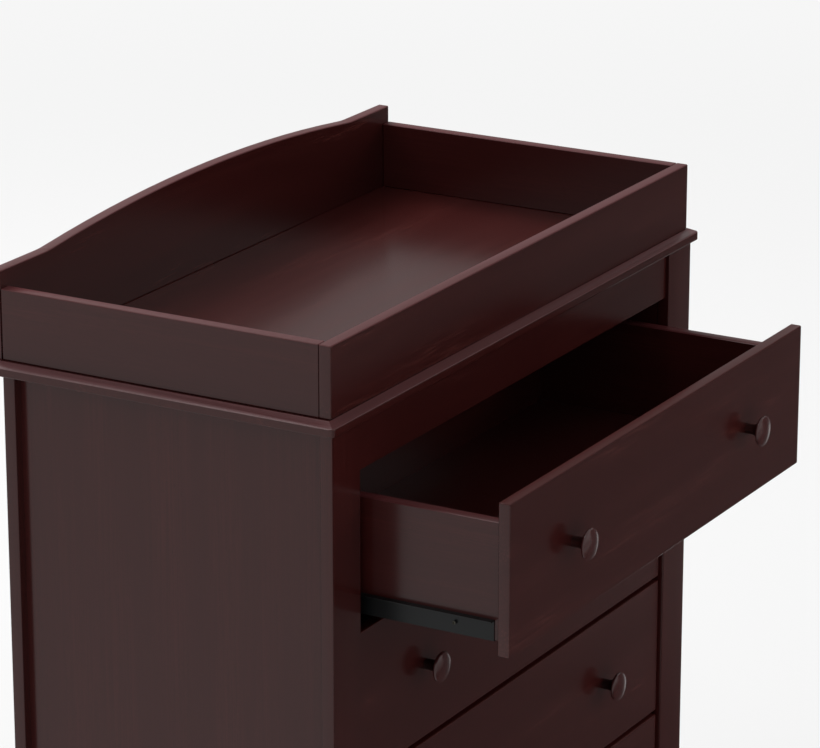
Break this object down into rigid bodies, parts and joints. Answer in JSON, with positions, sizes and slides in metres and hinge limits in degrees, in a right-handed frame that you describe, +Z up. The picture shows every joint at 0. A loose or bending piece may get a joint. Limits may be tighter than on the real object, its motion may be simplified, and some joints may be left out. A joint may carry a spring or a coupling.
{
  "type": "changing dresser",
  "caption": "Changing dresser: a chest of roller-runner drawers with turned knobs, a bevelled top and a removable open tray whose back panel has a humped crest.",
  "frame": {"origin": "on the floor, under the middle of the whole with the top drawer drawn out as stored", "axes": "+X to the right as seen from the front, +Y to the back, +Z up"},
  "size_m": [0.878, 0.6486, 1.0279],
  "materials": {
    "stained_wood": "satin dark cherry stain",
    "knob_wood": "satin dark cherry stain, turned",
    "stained_panel": "thin board, stained to match",
    "runner_steel": "dark slate powder coat",
    "bracket_steel": "black",
    "nylon_roller": "moulded nylon",
    "felt_pad": "felt"
  },
  "bodies": {
    "case": {"back_panel": "stained_panel", "bottom_front_rail": "stained_wood", "bottom_rear_rail": "stained_wood", "cabinet_runners_1": "runner_steel", "cabinet_runners_2": "runner_steel", "cabinet_runners_3": "runner_steel", "cabinet_runners_4": "runner_steel", "foot_pads": "felt_pad", "left_front_post": "stained_wood", "left_rear_post": "stained_wood", "left_runner_panel": "stained_wood", "left_side_panel": "stained_wood", "left_tray_side": "stained_wood", "right_front_post": "stained_wood", "right_rear_post": "stained_wood", "right_runner_panel": "stained_wood", "right_side_panel": "stained_wood", "right_tray_side": "stained_wood", "top_board": "stained_wood", "top_front_rail": "stained_wood", "top_rear_rail": "stained_wood", "tray_back": "stained_wood", "tray_brackets": "bracket_steel", "tray_front": "stained_wood"},
    "drawer_1": {"drawer_1_back": "stained_wood", "drawer_1_floor": "stained_panel", "drawer_1_front": "stained_wood", "drawer_1_knobs": "knob_wood", "drawer_1_left_side": "stained_wood", "drawer_1_right_side": "stained_wood", "drawer_1_runners": "runner_steel"},
    "rear_rollers_1": {"drawer_1_rear_rollers": "nylon_roller"},
    "front_rollers_1": {"front_rollers_1": "nylon_roller"},
    "drawer_2": {"drawer_2_back": "stained_wood", "drawer_2_floor": "stained_panel", "drawer_2_front": "stained_wood", "drawer_2_knobs": "knob_wood", "drawer_2_left_side": "stained_wood", "drawer_2_right_side": "stained_wood", "drawer_2_runners": "runner_steel"},
    "rear_rollers_2": {"drawer_2_rear_rollers": "nylon_roller"},
    "front_rollers_2": {"front_rollers_2": "nylon_roller"},
    "drawer_3": {"drawer_3_back": "stained_wood", "drawer_3_floor": "stained_panel", "drawer_3_front": "stained_wood", "drawer_3_knobs": "knob_wood", "drawer_3_left_side": "stained_wood", "drawer_3_right_side": "stained_wood", "drawer_3_runners": "runner_steel"},
    "rear_rollers_3": {"drawer_3_rear_rollers": "nylon_roller"},
    "front_rollers_3": {"front_rollers_3": "nylon_roller"},
    "drawer_4": {"drawer_4_back": "stained_wood", "drawer_4_floor": "stained_panel", "drawer_4_front": "stained_wood", "drawer_4_knobs": "knob_wood", "drawer_4_left_side": "stained_wood", "drawer_4_right_side": "stained_wood", "drawer_4_runners": "runner_steel"},
    "rear_rollers_4": {"drawer_4_rear_rollers": "nylon_roller"},
    "front_rollers_4": {"front_rollers_4": "nylon_roller"}
  },
  "joints": [
    {"name": "drawer_1_slide", "type": "slide", "parent": "case", "child": "drawer_1", "axis": [0, -1, 0], "range_m": [-0.184, 0.081]},
    {"name": "front_rollers_1_turn", "type": "hinge", "parent": "case", "child": "front_rollers_1", "pos_m": [0, -0.08625, 0.6781], "axis": [1, 0, 0], "range_deg": [-1057, 467]},
    {"name": "rear_rollers_1_turn", "type": "hinge", "parent": "drawer_1", "child": "rear_rollers_1", "pos_m": [0, 0.05075, 0.6758], "axis": [1, 0, 0], "range_deg": [-1174, 518]},
    {"name": "drawer_2_slide", "type": "slide", "parent": "case", "child": "drawer_2", "axis": [0, -1, 0], "range_m": [0, 0.265]},
    {"name": "front_rollers_2_turn", "type": "hinge", "parent": "case", "child": "front_rollers_2", "pos_m": [0, -0.08625, 0.4974], "axis": [1, 0, 0], "range_deg": [0, 1521]},
    {"name": "rear_rollers_2_turn", "type": "hinge", "parent": "drawer_2", "child": "rear_rollers_2", "pos_m": [0, 0.23475, 0.4951], "axis": [1, 0, 0], "range_deg": [0, 1690]},
    {"name": "drawer_3_slide", "type": "slide", "parent": "case", "child": "drawer_3", "axis": [0, -1, 0], "range_m": [0, 0.265]},
    {"name": "front_rollers_3_turn", "type": "hinge", "parent": "case", "child": "front_rollers_3", "pos_m": [0, -0.08625, 0.3167], "axis": [1, 0, 0], "range_deg": [0, 1521]},
    {"name": "rear_rollers_3_turn", "type": "hinge", "parent": "drawer_3", "child": "rear_rollers_3", "pos_m": [0, 0.23475, 0.3144], "axis": [1, 0, 0], "range_deg": [0, 1690]},
    {"name": "drawer_4_slide", "type": "slide", "parent": "case", "child": "drawer_4", "axis": [0, -1, 0], "range_m": [0, 0.265]},
    {"name": "front_rollers_4_turn", "type": "hinge", "parent": "case", "child": "front_rollers_4", "pos_m": [0, -0.08625, 0.136], "axis": [1, 0, 0], "range_deg": [0, 1521]},
    {"name": "rear_rollers_4_turn", "type": "hinge", "parent": "drawer_4", "child": "rear_rollers_4", "pos_m": [0, 0.23475, 0.1337], "axis": [1, 0, 0], "range_deg": [0, 1690]}
  ],
  "couplings": [
    {"joint": "front_rollers_1_turn", "follows": "drawer_1_slide", "rad_per_m": 100},
    {"joint": "rear_rollers_1_turn", "follows": "drawer_1_slide", "rad_per_m": 111.11},
    {"joint": "front_rollers_2_turn", "follows": "drawer_2_slide", "rad_per_m": 100},
    {"joint": "rear_rollers_2_turn", "follows": "drawer_2_slide", "rad_per_m": 111.11},
    {"joint": "front_rollers_3_turn", "follows": "drawer_3_slide", "rad_per_m": 100},
    {"joint": "rear_rollers_3_turn", "follows": "drawer_3_slide", "rad_per_m": 111.11},
    {"joint": "front_rollers_4_turn", "follows": "drawer_4_slide", "rad_per_m": 100},
    {"joint": "rear_rollers_4_turn", "follows": "drawer_4_slide", "rad_per_m": 111.11}
  ]
}
